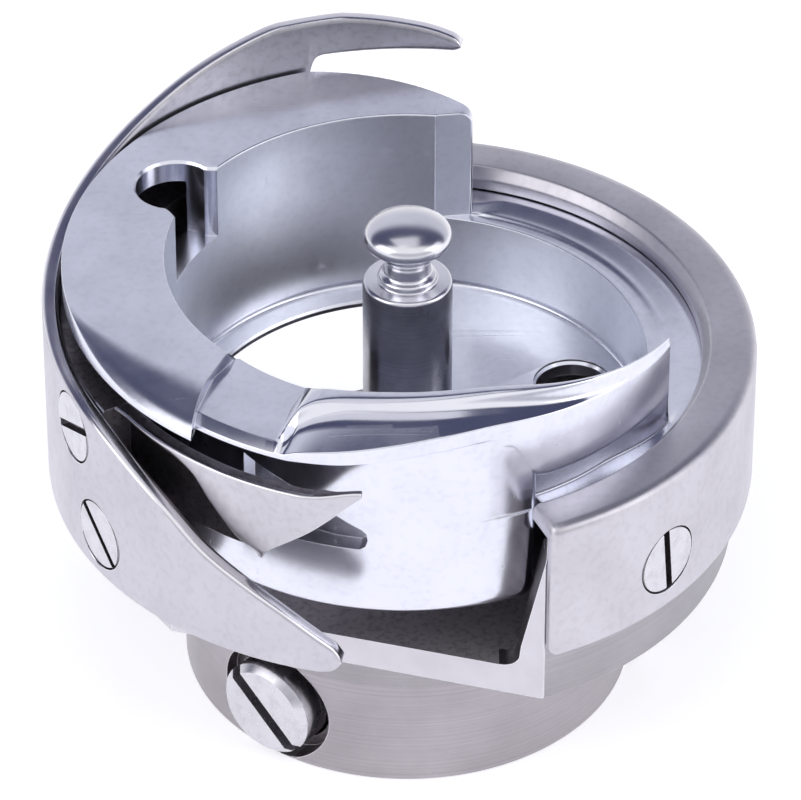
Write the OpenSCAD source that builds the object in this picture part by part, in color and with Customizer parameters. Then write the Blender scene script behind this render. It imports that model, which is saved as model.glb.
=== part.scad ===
// Rotary hook of a lockstitch sewing machine, with the holder that carries its bobbin case.
// The shaft axis is Z, and Z = 0 is the free end face of the hub.
// The sewing side faces -Y. Angles are counted anticlockwise from +X, seen from above.

/* [Shaft and hub] */
// Radius of the bore that takes the hook shaft
shaft_bore_r = 3.97; // [3.2:0.01:4.8]
// Outer radius of the hub
hub_r = 11.5; // [9.5:0.1:12.4]
// Height of the hub, from its free end to the underside of the hook body
hub_h = 8.5; // [7.9:0.1:11]
// Length of the hub's turned sleeve below its step
hub_sleeve_h = 6.3; // [6.2:0.1:6.9]
// Radius of the hub's spigot inside the hook body
hub_spigot_r = 8.0; // [6.8:0.1:8.1]
// Radius of the set screws
set_screw_r = 2.7; // [2.2:0.05:2.75]
// Radius of the set screws' dog points
dog_point_r = 1.5; // [1.2:0.05:1.7]
// Radial clearance round a screw in its hole
screw_clearance = 0.05; // [0.02:0.01:0.1]
// How far the set screws stand out of the hub
set_screw_proud = 0.8; // [0.2:0.1:1.2]
// Gap between a set screw's tip and the shaft bore, which tightening closes
set_screw_gap = 0.8; // [0.5:0.1:1.2]

/* [Bobbin case holder] */
// Inner radius of the cup that takes the bobbin case
cup_r = 12; // [10:0.1:14.5]
// Thickness of the cup's wall
cup_wall = 1.2; // [1:0.1:1.5]
// Thickness of the cup's floor
cup_floor_t = 0.9; // [0.7:0.1:1.2]
// Height of the low ledge above the cup's floor
ledge_h = 4.35; // [3.8:0.05:5.2]
// Height of the crescent above the ledge
crescent_h = 6.25; // [5.3:0.05:7.5]
// Thickness of the crescent's overhanging rim
rim_t = 1.2; // [0.9:0.1:1.4]
// Reach of the crescent's rim beyond the cup's inside
rim_reach = 5.2; // [4.9:0.1:5.3]
// Reach of the front pad beyond the cup's inside
pad_reach = 2.2; // [1.9:0.1:2.4]
// Reach of the bearing rib beyond the cup's inside
rib_reach = 3.4; // [3.1:0.1:3.6]
// Thickness of the bearing rib
rib_t = 1.6; // [1.3:0.1:1.9]
// Width of the notch that takes the positioning finger
finger_slot_w = 3.9; // [3.3:0.1:4.7]
// Radius of the stud that carries the bobbin case
stud_r = 2.25; // [1.8:0.05:2.7]
// Height of the stud's shoulder above the cup's floor
stud_h = 9.2; // [7.6:0.1:10.2]

/* [Hook body and race] */
// Thickness of the hook body's floor
body_floor_t = 1.7; // [1.4:0.1:2.1]
// Space between the hook body's floor and the cup
under_cup = 2.8; // [2.3:0.1:3.4]
// Clearance between the bearing rib and its race
race_clearance = 0.05; // [0.02:0.01:0.1]
// Wall between the race and the outside of the hook body
race_wall = 1.15; // [1:0.05:1.4]
// Overlap of the race's lip over the bearing rib
lip_overlap = 0.6; // [0.4:0.05:0.7]
// Thickness of the retaining gib's lip
gib_lip_t = 1.2; // [1:0.05:1.5]
// Thickness of the retaining gib's skirt
gib_skirt_t = 0.95; // [0.8:0.05:1.2]
// Height of the hook body's upper wall above the gib
upper_wall_h = 1.9; // [1.6:0.05:2.3]
// Thickness of the sheet thread guard
guard_t = 0.85; // [0.7:0.05:1]
// Radius of the screw heads in the gib and the guard
screw_head_r = 1.8; // [1.5:0.05:2.1]

/* [Hidden] */
$fn = 120;

steel = [0.72, 0.71, 0.75];
bright_steel = [0.78, 0.80, 0.88];
dark_steel = [0.35, 0.35, 0.40];
felt_grey = [0.72, 0.69, 0.60];

// Cutters run this far past the face that they cut
past = 0.5;
// Gap behind the gib and the guard, where they are screwed on
seat_gap = 0.02;

// Levels, stacked from the hub's end upwards
body_floor_z = hub_h + body_floor_t;
cup_bottom_z = body_floor_z + under_cup;
washer_t = 0.45;
washer_bottom_z = cup_bottom_z - washer_t;
cup_floor_z = cup_bottom_z + cup_floor_t;
ledge_z = cup_floor_z + ledge_h;
rib_top_z = ledge_z + 0.2;
rib_bottom_z = rib_top_z - rib_t;
race_top_z = rib_top_z + race_clearance;
race_bottom_z = rib_bottom_z - race_clearance;
gib_top_z = race_top_z + gib_lip_t;
gib_bottom_z = body_floor_z + 1.6;
wall_top_z = gib_top_z + upper_wall_h;
crescent_z = ledge_z + crescent_h;
rim_z = crescent_z - rim_t;
recess_z = crescent_z - 0.6;
horn_z = crescent_z + 0.3;
window_top_z = race_bottom_z + 0.4;
seat_bottom_z = gib_bottom_z - 0.1;
skirt_bottom_z = gib_top_z + 0.4;

// Radii, stacked from the cup outwards
wall_r = cup_r + cup_wall;
pad_r = cup_r + pad_reach;
rib_r = cup_r + rib_reach;
rim_r = cup_r + rim_reach;
skirt_r = pad_r - 0.1;
crescent_wall_r = cup_r + 1.9;
recess_r = rim_r - 0.9;
stud_seat_r = stud_r - 0.6;
cavity_r = pad_r + 0.3;
race_r = rib_r + race_clearance;
lip_r = rib_r - lip_overlap;
body_r = race_r + race_wall;
gib_r = body_r + gib_skirt_t;
guard_in_r = max(rim_r, body_r) + 0.2;
guard_out_r = guard_in_r + guard_t;
blade_in_r = race_r + 0.05;

// Angles round the axis
gib_start = -66.5;
gib_end = 93;
blade_tip = -98;
blade_root = -150;
guard_rear = 107.6;
guard_tip = 261;
slot_angle = 152.3;
pad_start = 215;
seat_end = 222;
step_angle = 208.9;
relief_start = 211.3;
pad_end = 288;
recess_start = 219;
recess_r_end = 250;
runout_end = 291;
wall_start = 80;
rib_start = -62;
rib_end = 232;
horn_start = 246;
ridge_start = 290;
horn_tip = 336;

// The milled flat across the front of the hook body
flat_angle = -106;
flat_d = body_r * 0.768;

// Set screws, evenly spaced round the hub
set_screw_z = hub_sleeve_h / 2 + 0.1;
set_screw_first = -125.6;
set_screw_face_r = hub_r + set_screw_proud;
set_screw_tip_r = shaft_bore_r + set_screw_gap;
dog_point_h = 1.7;
dog_step_r = set_screw_tip_r + dog_point_h;

// Screws of the gib and of the guard, as [angle, height]
gib_screws = [for (i = [0:2]) [-43 + 55 * i, gib_bottom_z + 2.9]];
guard_screws = [[204.3, wall_top_z - 1.9], [212.6, gib_bottom_z + 2.9], [135, gib_bottom_z + 2.9]];
screw_shank_r = 1;
screw_head_t = 0.75;
screw_sink = 0.03;

// Oil passage up to the race
oil_angle = 40;
oil_r = 0.6;
oil_plug_r = 0.85;
oil_plug_h = 1.6;
oil_pos_r = (cavity_r + body_r) / 2;

// An arc of a ring with a square section
module arc(r0, r1, z0, z1, a0, a1) {
    rotate([0, 0, a0])
        rotate_extrude(angle = a1 - a0)
            translate([r0, z0]) square([r1 - r0, z1 - z0]);
}

// A cylinder that points outwards along a radius
module radial(angle, z, r0, r1, r) {
    rotate([0, 0, angle]) translate([r0, 0, z]) rotate([0, 90, 0]) cylinder(r = r, h = r1 - r0);
}

// A block that an XZ outline makes on the sewing side of the axis
module front_cut(outline) {
    translate([0, -0.4 * cup_r, 0]) rotate([90, 0, 0]) linear_extrude(2 * body_r) polygon(outline);
}

// A slotted screw head's slot, along the angle given in the plane of the head
module head_slot(angle, z, r, width, depth, turn) {
    rotate([0, 0, angle]) translate([r - depth, 0, z]) rotate([turn, 0, 0])
        translate([0, -width / 2, -r]) cube([depth + past, width, 2 * r]);
}

// One flush screw: a cheese head let into a sheet, and its shank in the wall behind
module flush_screw(place, sheet_r, tip_r, turn) {
    face_r = sheet_r - screw_sink;
    difference() {
        union() {
            radial(place[0], place[1], face_r - screw_head_t, face_r, screw_head_r);
            radial(place[0], place[1], tip_r, face_r - screw_head_t, screw_shank_r);
        }
        head_slot(place[0], place[1], face_r, 0.5, 0.4, turn);
    }
}

// The hole that one flush screw needs
module flush_screw_hole(place, sheet_r, tip_r) {
    seat_r = sheet_r - screw_sink - screw_head_t;
    radial(place[0], place[1], seat_r, sheet_r + past, screw_head_r + screw_clearance);
    radial(place[0], place[1], tip_r - screw_clearance, seat_r + past, screw_shank_r + screw_clearance);
}

module shell_outside() {
    seat_r = guard_in_r - seat_gap;
    right_end = 360 + gib_end + 2;
    difference() {
        rotate_extrude() polygon([
            [0, hub_sleeve_h], [hub_r + 0.15, hub_sleeve_h], [hub_r + 0.15, hub_h], [body_r, hub_h],
            [body_r, seat_bottom_z], [seat_r, seat_bottom_z], [seat_r, wall_top_z], [0, wall_top_z]]);
        // the side under the gib ends at the race's top
        arc(past, guard_out_r, race_top_z - seat_gap, wall_top_z + past, 360 + blade_tip, right_end);
        // away from the guard's seat the wall is turned down for the gib
        arc(body_r - seat_gap, guard_out_r, seat_bottom_z - 0.1, wall_top_z + 1, seat_end, right_end + 0.5);
        // and behind the blade for the thread
        arc(body_r - 2 * seat_gap, guard_out_r, window_top_z + 0.15, wall_top_z + 2, step_angle,
            seat_end + past);
    }
}

module hook_body() {
    point = [body_r * cos(blade_tip), wall_top_z];
    heel_x = body_r * cos(-115);
    relief_x = body_r * cos(-131);
    relief_lean = (relief_x - heel_x) / (wall_top_z - window_top_z);
    color(steel) difference() {
        shell_outside();
        // seat of the hub's spigot, cavity round the cup, race, and the bore of the upper wall
        rotate_extrude() polygon([
            [0, hub_sleeve_h - past], [hub_spigot_r, hub_sleeve_h - past], [hub_spigot_r, body_floor_z],
            [cavity_r, body_floor_z], [cavity_r, race_bottom_z], [race_r, race_bottom_z],
            [race_r, race_top_z], [lip_r, race_top_z], [lip_r, wall_top_z + past],
            [0, wall_top_z + past]]);
        arc(cup_r, blade_in_r, race_top_z - 0.05, wall_top_z + 1, 360 + blade_root, 360 + blade_tip + 4);
        // front window between the blade and the gib
        front_cut([[-0.753 * body_r, body_floor_z], [-0.753 * body_r, window_top_z],
            [heel_x, window_top_z], [point[0], point[1] - 0.4], [point[0], point[1] + past],
            [0.415 * body_r, point[1] + past], [0.405 * body_r, window_top_z], [0.325 * body_r, body_floor_z + 1],
            [0.29 * body_r, body_floor_z + 0.3], [0.255 * body_r, body_floor_z]]);
        // milled flat, below the window and beside it
        rotate([0, 0, flat_angle]) translate([flat_d, -body_r, hub_h - past])
            cube([body_r, 2 * body_r, body_floor_t + past + 0.01]);
        intersection() {
            rotate([0, 0, flat_angle]) translate([flat_d, -body_r, hub_h]) cube([body_r, 2 * body_r, 9]);
            translate([0.2 * body_r, -2 * body_r, hub_h]) cube([body_r, 2 * body_r, 12]);
        }
        // thread relief behind the blade
        intersection() {
            arc(race_r + 0.45, gib_r + 2, window_top_z - 0.15, wall_top_z + past, relief_start, 250);
            front_cut([[-2 * body_r, window_top_z - past], [heel_x, window_top_z],
                [relief_x + relief_lean, wall_top_z + 1], [-2 * body_r, wall_top_z + 1]]);
        }
        // rear window, low in the wall and through the floor
        arc(hub_spigot_r + 0.3, guard_out_r, hub_sleeve_h + 0.8, gib_bottom_z + 0.4, gib_end + 4, 160);
        for (place = gib_screws) flush_screw_hole(place, gib_r, cavity_r + 0.3);
        for (place = guard_screws) flush_screw_hole(place, guard_out_r, lip_r + 0.3);
        // oil passage
        rotate([0, 0, oil_angle]) translate([oil_pos_r, 0, hub_h - past]) {
            cylinder(r = oil_r + 0.02, h = race_bottom_z - hub_h + 2 * past);
            cylinder(r = oil_plug_r + 0.02, h = oil_plug_h + past);
        }
    }
}

module hub() {
    color(steel) difference() {
        rotate_extrude() polygon([
            [shaft_bore_r, 0], [hub_r - 0.5, 0], [hub_r, 0.5], [hub_r, hub_sleeve_h],
            [hub_spigot_r, hub_sleeve_h], [hub_spigot_r, body_floor_z], [shaft_bore_r, body_floor_z]]);
        for (i = [0:2]) {
            angle = set_screw_first + 120 * i;
            radial(angle, set_screw_z, shaft_bore_r / 2, hub_r, dog_point_r + screw_clearance);
            radial(angle, set_screw_z, dog_step_r - set_screw_gap - screw_clearance, hub_r + past,
                set_screw_r + screw_clearance);
            // wider mouth round the screw
            radial(angle, set_screw_z, hub_r - 1.3, hub_r + past, set_screw_r + 0.25);
        }
    }
}

module set_screw(index) {
    angle = set_screw_first + 120 * index;
    lead = 0.4;
    color(bright_steel) difference() {
        union() {
            radial(angle, set_screw_z, dog_step_r, set_screw_face_r - lead, set_screw_r);
            radial(angle, set_screw_z, set_screw_tip_r, dog_step_r + past, dog_point_r);
            rotate([0, 0, angle]) translate([set_screw_face_r - lead, 0, set_screw_z]) rotate([0, 90, 0])
                cylinder(r1 = set_screw_r, r2 = set_screw_r - 0.3, h = lead);
        }
        head_slot(angle, set_screw_z, set_screw_face_r, 0.75, 1.3, -43);
    }
}

module gib() {
    edge = 0.55;
    color(steel) difference() {
        rotate([0, 0, gib_start]) rotate_extrude(angle = gib_end - gib_start) polygon(concat(
            [[body_r, gib_bottom_z], [gib_r, gib_bottom_z]],
            [for (a = [0:15:90]) [gib_r - edge + edge * cos(a), gib_top_z - edge + edge * sin(a)]],
            [[lip_r + 0.4, gib_top_z], [lip_r, gib_top_z - 0.4], [lip_r, race_top_z],
            [body_r, race_top_z]]));
        for (place = gib_screws) flush_screw_hole(place, gib_r, cavity_r + 0.3);
    }
}

module gib_screw(index) {
    color(bright_steel) flush_screw(gib_screws[index], gib_r, cavity_r + 0.3, 10 - 25 * index);
}

// Height of the guard's upper and lower edges over the top of the hook body's wall
function guard_top(a) = wall_top_z + lookup(a, [
    [80, 4], [84, 4.5], [91, 5.1], [100, 5.6], [108, 5.7], [115, 5.5], [126, 4.7], [138, 3.5],
    [150, 2.7], [164, 1.9], [176, 1.3], [188, 0.4], [200, 0], [212, 0], [220, -0.8], [229, -2.2],
    [236, -3.8], [244, -5], [250, -6], [256, -7.2], [260, -8.2], [261, -8.7]]);
function guard_low(a) = a < guard_rear
    ? wall_top_z + lookup(a, [[80, 3.8], [84, 3.6], [103, 3.5], [106, 3.2], [107.4, 2.4]])
    : lookup(a, [[guard_rear, gib_bottom_z + 0.4], [257, gib_bottom_z + 0.4], [261, gib_bottom_z + 0.8]]);

module thread_guard() {
    angles = concat([for (a = [80:3:104]) a], [105.5, 106.6, 107.4, guard_rear + 0.1],
        [for (a = [110:3:257]) a], [259.5, guard_tip]);
    points = [for (a = angles) each [
        [guard_in_r * cos(a), guard_in_r * sin(a), guard_low(a)],
        [guard_out_r * cos(a), guard_out_r * sin(a), guard_low(a)],
        [guard_out_r * cos(a), guard_out_r * sin(a), guard_top(a)],
        [guard_in_r * cos(a), guard_in_r * sin(a), guard_top(a)]]];
    last = 4 * (len(angles) - 1);
    faces = concat([[0, 1, 2, 3]],
        [for (i = [0:4:last - 4], k = [0:3]) [i + k, i + 4 + k, i + 4 + (k + 1) % 4, i + (k + 1) % 4]],
        [[last + 3, last + 2, last + 1, last]]);
    color(steel) difference() {
        polyhedron(points = points, faces = faces, convexity = 6);
        for (place = guard_screws) flush_screw_hole(place, guard_out_r, guard_in_r - 1);
    }
}

module guard_screw(index) {
    color(bright_steel) flush_screw(guard_screws[index], guard_out_r, lip_r + 0.3, [80, 30, 0][index]);
}

module oil_wick() {
    color(felt_grey) rotate([0, 0, oil_angle]) translate([oil_pos_r, 0, hub_h + oil_plug_h])
        cylinder(r = oil_r, h = race_bottom_z - 0.1 - hub_h - oil_plug_h);
}

module oil_plug() {
    color(bright_steel) rotate([0, 0, oil_angle]) translate([oil_pos_r, 0, hub_h])
        cylinder(r = oil_plug_r, h = oil_plug_h);
}

// Radius of the rim's outline where the crescent's rim runs out into the horn
function runout_r(a) = pad_r
    + (recess_r - pad_r) * (1 + cos(180 * (a - recess_r_end) / (runout_end - recess_r_end))) / 2;

// Radius of the horn's ridge, which leaves the cup's wall and runs outwards
function ridge_r(a) = a > ridge_start ? cup_r + 0.2 + 0.035 * (a - ridge_start) : cup_r - past;

module crescent() {
    difference() {
        union() {
            intersection() {
                arc(cup_r - past, rim_r, rim_z, crescent_z, wall_start, runout_end);
                // the rear end turns inwards in a second, smaller circle
                translate([0, 0, rim_z - 1]) union() {
                    translate([-5, 4.5, 0]) cylinder(r = rim_r - 5.3, h = rim_t + 2);
                    translate([-5.5 - 2 * rim_r, -rim_r - 1, 0]) cube([2 * rim_r, 2 * rim_r + 2, rim_t + 2]);
                    translate([-rim_r - 1, -2 * rim_r, 0]) cube([2 * rim_r + 2, 2 * rim_r, rim_t + 2]);
                }
            }
            // wall under the rim, with a rounded rear end
            arc(cup_r - past, crescent_wall_r, ledge_z - 0.1, crescent_z, wall_start, horn_start + 1);
            rotate([0, 0, wall_start]) translate([cup_r + 0.8, 0, ledge_z - 0.2])
                cylinder(r = 1, h = crescent_z - ledge_z + 0.2);
        }
        // recessed front end
        rotate([0, 0, recess_start]) rotate_extrude(angle = runout_end + 5 - recess_start) polygon([
            [cup_r - 1, recess_z], [recess_r, recess_z], [recess_r, rim_z - 1],
            [rim_r + 1, rim_z - 1], [rim_r + 1, crescent_z + 1], [cup_r - 1, crescent_z + 1]]);
        translate([0, 0, rim_z - 1]) linear_extrude(rim_t + 2) polygon(concat(
            [(recess_r + 0.1) * [cos(recess_r_end - 4), sin(recess_r_end - 4)]],
            [for (a = [recess_r_end + 2:3:runout_end + 3]) runout_r(min(a, runout_end)) * [cos(a), sin(a)]],
            [[2 * rim_r * cos(runout_end + 3), 2 * rim_r * sin(runout_end + 3)],
            [2 * rim_r * cos(recess_r_end - 4), 2 * rim_r * sin(recess_r_end - 4)]]));
    }
}

module horn() {
    slope = 1.3 / (0.9 * cup_r);
    difference() {
        arc(cup_r - past, skirt_r, skirt_bottom_z, horn_z, horn_start, horn_tip);
        // the ridge leaves the cup's wall and runs outwards to the tip
        translate([0, 0, rim_z]) linear_extrude(rim_t + 2) polygon(concat([[0, 0]],
            [for (a = [ridge_start:5:horn_tip + 5]) ridge_r(a) * [cos(a), sin(a)]]));
        // and falls towards the tip
        translate([0, -cup_r, 0]) rotate([90, 0, 0]) linear_extrude(4 * cup_r, center = true) polygon([
            [0, horn_z + 0.3 * cup_r * slope], [2 * cup_r, horn_z - 1.7 * cup_r * slope],
            [2 * cup_r, horn_z + 2], [0, horn_z + 2]]);
    }
    arc(cup_r - past, wall_r - 0.1, ledge_z - 0.2, rim_z - 0.5, pad_end - 1, horn_tip - 2);
}

module basket() {
    color(bright_steel) difference() {
        union() {
            rotate_extrude() polygon([
                [0, cup_bottom_z], [wall_r - 0.8, cup_bottom_z], [wall_r, cup_bottom_z + 0.8],
                [wall_r, ledge_z], [0, ledge_z]]);
            arc(wall_r - 0.3, rib_r, rib_bottom_z, rib_top_z, rib_start, rib_end);
            // front pad, with a rounded-off lower edge
            intersection() {
                arc(cup_r - 1, pad_r + 1, cup_bottom_z - 1, rim_z + 0.3, pad_start, pad_end);
                rotate_extrude() polygon([[0, cup_bottom_z], [pad_r - 1, cup_bottom_z],
                    [pad_r, cup_bottom_z + 1], [pad_r, rim_z + 1], [0, rim_z + 1]]);
            }
            crescent();
            horn();
        }
        translate([0, 0, cup_floor_z]) cylinder(r = cup_r, h = horn_z);
        // seat of the centre stud
        translate([0, 0, cup_bottom_z - past]) cylinder(r = stud_seat_r, h = cup_floor_t + 2 * past);
        // notch of the positioning finger
        rotate([0, 0, slot_angle]) translate([0, 0, ledge_z + 2]) {
            translate([cup_r - 1, -finger_slot_w / 2, 0]) cube([2.3, finger_slot_w, crescent_h]);
            translate([cup_r + 1.2, 0, 0]) cylinder(r = finger_slot_w / 2 + 0.1, h = crescent_h);
        }
        // crescent opening and round hole in the floor
        arc(stud_r + 1.4, cup_r - 1.3, cup_bottom_z - past, cup_floor_z + past, 92, 200);
        rotate([0, 0, 23]) translate([cup_r - 2.8, 0, cup_bottom_z - past])
            cylinder(r = 1.9, h = cup_floor_t + 2 * past);
        // thread notch in the front pad
        arc(pad_r - 1, pad_r + 1, rib_bottom_z - 0.2, rib_top_z, 236, 263);
    }
}

module center_stud() {
    shoulder_z = cup_floor_z + stud_h;
    neck_r = stud_r - 1.05;
    head_r = stud_r - 0.05;
    color(bright_steel) rotate_extrude() polygon(concat(
        [[0, washer_bottom_z], [stud_seat_r, washer_bottom_z], [stud_seat_r, cup_floor_z],
        [stud_r, cup_floor_z], [stud_r, shoulder_z], [neck_r, shoulder_z],
        [neck_r, shoulder_z + 1.9], [head_r, shoulder_z + 2.4]],
        [for (a = [0:15:90]) [head_r * cos(a), shoulder_z + 2.75 + 0.85 * sin(a)]]));
}

module stud_washer() {
    color(steel) translate([0, 0, washer_bottom_z]) difference() {
        cylinder(r = stud_r + 0.9, h = washer_t);
        translate([0, 0, -past]) cylinder(r = stud_seat_r, h = washer_t + 2 * past);
    }
}

hook_body();
hub();
gib();
gib_screw(0);  // gib_screw_1
gib_screw(1);  // gib_screw_2
gib_screw(2);  // gib_screw_3
thread_guard();
guard_screw(0);  // guard_screw_1
guard_screw(1);  // guard_screw_2
guard_screw(2);  // guard_screw_3
oil_wick();
oil_plug();
set_screw(0);  // set_screw_1
set_screw(1);  // set_screw_2
set_screw(2);  // set_screw_3
basket();
center_stud();
stud_washer();
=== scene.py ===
import math

import bmesh
import bpy
from mathutils import Matrix, Vector


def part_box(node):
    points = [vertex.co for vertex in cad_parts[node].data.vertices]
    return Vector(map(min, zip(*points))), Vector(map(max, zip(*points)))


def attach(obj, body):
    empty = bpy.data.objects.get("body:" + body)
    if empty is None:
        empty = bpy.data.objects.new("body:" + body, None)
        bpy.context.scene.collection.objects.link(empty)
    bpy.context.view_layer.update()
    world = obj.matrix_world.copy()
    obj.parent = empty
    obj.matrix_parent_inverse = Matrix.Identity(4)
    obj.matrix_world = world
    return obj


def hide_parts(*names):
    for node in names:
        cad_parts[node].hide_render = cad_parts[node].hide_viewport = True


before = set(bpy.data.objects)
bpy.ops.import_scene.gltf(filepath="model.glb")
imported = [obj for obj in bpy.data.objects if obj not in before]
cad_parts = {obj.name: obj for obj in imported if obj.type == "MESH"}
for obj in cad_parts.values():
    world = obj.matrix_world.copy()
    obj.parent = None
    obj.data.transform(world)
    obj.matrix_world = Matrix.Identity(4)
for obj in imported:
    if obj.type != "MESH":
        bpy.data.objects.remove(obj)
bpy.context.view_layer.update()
mm = 0.001  # every length below is in millimetres until a mesh is made


# Where the construction puts things: heights and outer radii of its own parts, in millimetres
def lowOf(node):
    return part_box(node)[0].z / mm


def topOf(node):
    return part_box(node)[1].z / mm


def reachOf(node):
    low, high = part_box(node)
    return max(abs(low.x), abs(high.x)) / mm


hubR = reachOf("hub")
bodyTop = topOf("hook_body")
seatR = reachOf("hook_body")
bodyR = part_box("hook_body")[1].x / mm
bodyFloor = topOf("hub")
gibLow, gibTop, gibR = lowOf("gib"), topOf("gib"), reachOf("gib")
guardR, guardHigh = reachOf("thread_guard"), topOf("thread_guard")
cupLow, rimR = lowOf("basket"), reachOf("basket")
setScrews = ["set_screw_1", "set_screw_2", "set_screw_3"]
gibScrews = ["gib_screw_1", "gib_screw_2", "gib_screw_3"]
guardScrews = ["guard_screw_1", "guard_screw_2", "guard_screw_3"]
print("frame loaded, hook reach", round(guardR, 2))


# mesh helpers
def polar(radius, angle, height):
    return (radius * math.cos(math.radians(angle)), radius * math.sin(math.radians(angle)), height)


def smoothCurve(table, at):
    # cubic through (position, value) pairs, flat beyond the ends
    if at <= table[0][0]:
        return table[0][1]
    if at >= table[-1][0]:
        return table[-1][1]
    last = len(table) - 1
    k = max(i for i in range(last) if table[i][0] <= at)
    slopes = []
    for i in (k, k + 1):
        before, after = max(i - 1, 0), min(i + 1, last)
        slopes.append((table[after][1] - table[before][1]) / (table[after][0] - table[before][0]))
    width = table[k + 1][0] - table[k][0]
    t = (at - table[k][0]) / width
    a, b = table[k][1], table[k + 1][1]
    return ((2 * t ** 3 - 3 * t * t + 1) * a + (t ** 3 - 2 * t * t + t) * width * slopes[0]
            + (3 * t * t - 2 * t ** 3) * b + (t ** 3 - t * t) * width * slopes[1])


def ease(start, end, at):
    t = min(1.0, max(0.0, (at - start) / (end - start)))
    return t * t * (3 - 2 * t)


def mix(a, b, t):
    return a + (b - a) * t


def roundLoop(corners, steps=4):
    # corners are (across, up, rounding); each becomes a short curve
    loop = []
    count = len(corners)
    for i, corner in enumerate(corners):
        here = Vector(corner[:2])
        before, after = Vector(corners[i - 1][:2]), Vector(corners[(i + 1) % count][:2])
        inn, out = before - here, after - here
        start = here + inn.normalized() * min(corner[2], inn.length * 0.47)
        end = here + out.normalized() * min(corner[2], out.length * 0.47)
        for k in range(steps + 1):
            t = k / steps
            point = start * (1 - t) ** 2 + here * 2 * t * (1 - t) + end * t * t
            loop.append((point.x, point.y))
    return loop


def shrink(corners, by):
    # the same outline, moved inwards on all sides
    count = len(corners)
    area = sum(corners[i - 1][0] * corners[i][1] - corners[i][0] * corners[i - 1][1] for i in range(count))
    side = 1 if area > 0 else -1
    out = []
    for i, corner in enumerate(corners):
        here = Vector(corner[:2])
        inn = (here - Vector(corners[i - 1][:2])).normalized()
        nxt = (Vector(corners[(i + 1) % count][:2]) - here).normalized()
        normals = [Vector((-d.y, d.x)) * side for d in (inn, nxt)]
        bisector = normals[0] + normals[1]
        lean = max(0.3, bisector.dot(normals[0]))
        moved = here + bisector * (by / lean)
        out.append((moved.x, moved.y, max(0.01, corner[2] - by * 0.5)))
    return out


def finishMesh(name, mesh, sharpAngle):
    work = bmesh.new()
    work.from_mesh(mesh)
    bmesh.ops.remove_doubles(work, verts=work.verts, dist=0.0004 * mm)
    bmesh.ops.dissolve_degenerate(work, edges=work.edges, dist=0.0004 * mm)
    bmesh.ops.recalc_face_normals(work, faces=work.faces)
    work.to_mesh(mesh)
    work.free()
    for face in mesh.polygons:
        face.use_smooth = True
    mesh.set_sharp_from_angle(angle=math.radians(sharpAngle))
    piece = bpy.data.objects.new(name, mesh)
    bpy.context.scene.collection.objects.link(piece)
    return piece


def meshPiece(name, points, faces, sharpAngle=30):
    mesh = bpy.data.meshes.new(name)
    mesh.from_pydata([[c * mm for c in p] for p in points], [], faces)
    return finishMesh(name, mesh, sharpAngle)


def sweep(name, stations, closed=False, sharpAngle=30, lean=None):
    # stations are (angle, loop of (radius, height)), all with as many points
    # lean turns a point further round by an amount that depends on its radius
    size = len(stations[0][1])
    points = [polar(r, angle + (lean(angle, r) if lean else 0), z)
              for angle, loop in stations for r, z in loop]
    faces = []
    for i in range(len(stations) if closed else len(stations) - 1):
        j = (i + 1) % len(stations)
        for k in range(size):
            n = (k + 1) % size
            faces.append((i * size + k, j * size + k, j * size + n, i * size + n))
    if not closed:
        faces.append(tuple(range(size)))
        faces.append(tuple(range((len(stations) - 1) * size, len(stations) * size)))
    return meshPiece(name, points, faces, sharpAngle)


def roundedSweep(name, cornersAt, start, end, step, rounding, atRadius, sharpAngle=30):
    # a sweep whose two ends are rounded over, from start to end in degrees
    degrees = 180 / (math.pi * atRadius)
    stations = []
    for k in range(6):
        turn = math.pi / 2 * k / 5
        stations.append((start + rounding[0] * (1 - math.cos(turn)) * degrees,
                         rounding[0] * (1 - math.sin(turn))))
    first, last = start + rounding[0] * degrees, end - rounding[1] * degrees
    count = max(2, int((last - first) / step))
    stations += [(first + (last - first) * k / count, 0.0) for k in range(1, count)]
    for k in range(6):
        turn = math.pi / 2 * (5 - k) / 5
        stations.append((end - rounding[1] * (1 - math.cos(turn)) * degrees,
                         rounding[1] * (1 - math.sin(turn))))
    return sweep(name, [(a, roundLoop(shrink(cornersAt(a), inset) if inset else cornersAt(a)))
                        for a, inset in stations], False, sharpAngle)


def lathe(name, corners, segments=180, steps=4, sharpAngle=30):
    # a closed profile turned round the axis; corners on the axis stay on it
    loop = roundLoop(corners, steps)
    return sweep(name, [(360 * k / segments, loop) for k in range(segments)], True, sharpAngle)


def turnedPiece(name, profile, segments=96, steps=3, sharpAngle=30):
    # an open profile from axis to axis, turned round Z and closed by its own ends
    loop = roundLoop([(0.0, profile[0][1], 0.0)] + profile + [(0.0, profile[-1][1], 0.0)], steps)
    loop = [(max(r, 0.0), z) for r, z in loop]
    points, faces = [], []
    for i in range(segments):
        points += [polar(r, 360 * i / segments, z) for r, z in loop]
    size = len(loop)
    for i in range(segments):
        j = (i + 1) % segments
        for k in range(size - 1):
            faces.append((i * size + k, j * size + k, j * size + k + 1, i * size + k + 1))
    return meshPiece(name, points, faces, sharpAngle)


def prism(name, outline, low, high, flare=0.0, flareDepth=0.0):
    # an upright prism over an (x, y) outline, opened out near its top by flare
    levels = [(low, 0.0)]
    if flare:
        levels += [(high - flareDepth, 0.0), (high, flare), (high + 1, flare)]
    else:
        levels.append((high, 0.0))
    points = []
    for z, grow in levels:
        ring = [c[:2] for c in shrink([(x, y, 0) for x, y in outline], -grow)] if grow else outline
        points += [(x, y, z) for x, y in ring]
    size = len(outline)
    faces = [tuple(range(size)), tuple(range((len(levels) - 1) * size, len(levels) * size))]
    for i in range(len(levels) - 1):
        for k in range(size):
            n = (k + 1) % size
            faces.append((i * size + k, i * size + n, (i + 1) * size + n, (i + 1) * size + k))
    return meshPiece(name, points, faces)


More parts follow.
